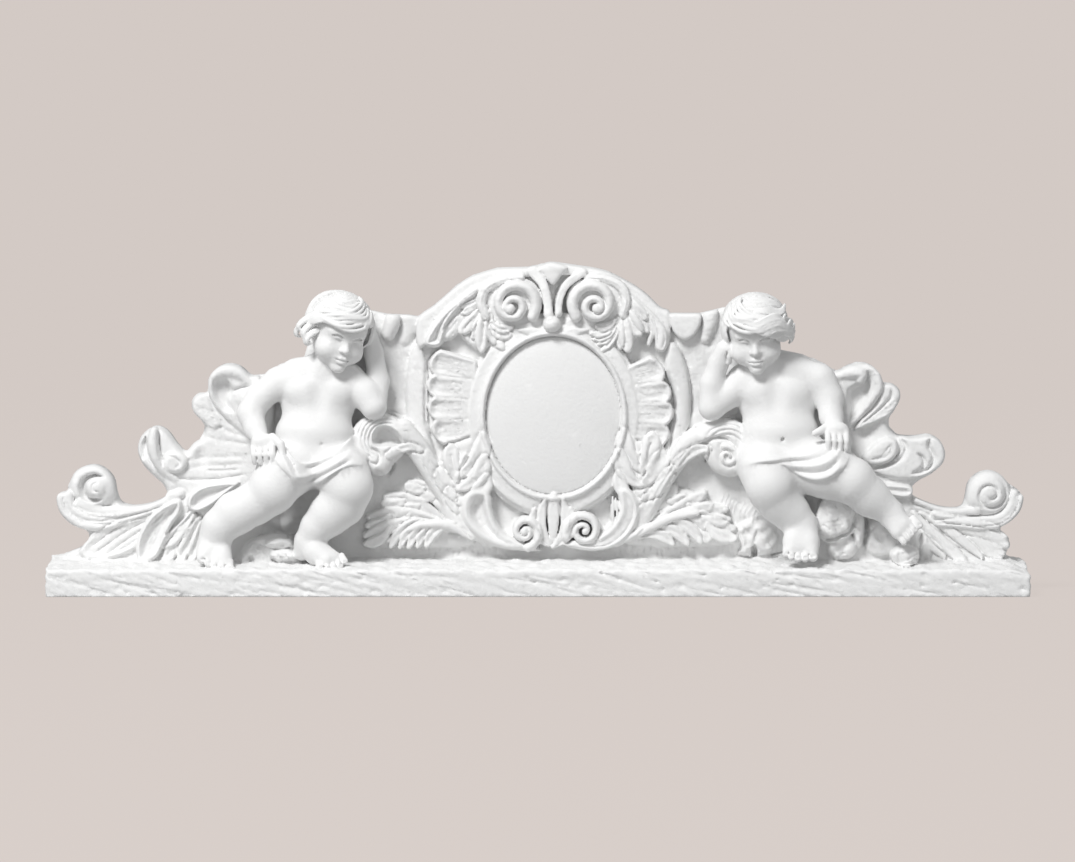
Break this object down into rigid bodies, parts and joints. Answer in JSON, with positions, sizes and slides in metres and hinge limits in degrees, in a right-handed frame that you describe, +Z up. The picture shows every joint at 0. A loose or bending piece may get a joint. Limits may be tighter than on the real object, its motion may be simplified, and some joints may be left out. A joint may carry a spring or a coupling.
{
  "type": "door pediment",
  "caption": "Arched over-door pediment in cast plaster: seated children flank an oval medallion with shells and acanthus scrolls on a rough-tooled ledge.",
  "frame": {"origin": "middle of the underside's bounding rectangle: half way along the ledge and half way from the flat back to the ledge's front edge", "axes": "+X runs along the ledge to the viewer's right, +Y points into the wall, +Z is up; the relief faces -Y"},
  "size_m": [1.2, 0.12, 0.408],
  "materials": {
    "plaster": "matt white cast plaster, lightly grained"
  },
  "bodies": {
    "root": {"pediment": "plaster"}
  },
  "joints": []
}
